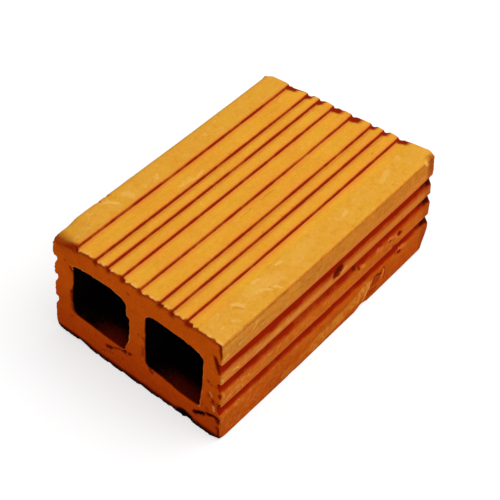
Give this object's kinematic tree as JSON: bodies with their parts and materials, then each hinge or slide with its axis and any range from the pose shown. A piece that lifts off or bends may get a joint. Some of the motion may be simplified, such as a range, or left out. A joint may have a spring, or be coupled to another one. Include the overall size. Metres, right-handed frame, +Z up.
{
  "type": "clay brick",
  "caption": "Extruded fired-clay brick with square through cells and scored faces, wire cut at both ends.",
  "frame": {"origin": "under the middle of the overall box, on the surface that the brick stands on", "axes": "+X along the extrusion and the cells, +Y across the width, +Z up from the lower bed to the upper bed"},
  "size_m": [0.1676, 0.1042, 0.065],
  "materials": {
    "fired_clay": "matt orange fired clay, paler and dusty on the beds"
  },
  "bodies": {
    "root": {"brick": "fired_clay"}
  },
  "joints": []
}
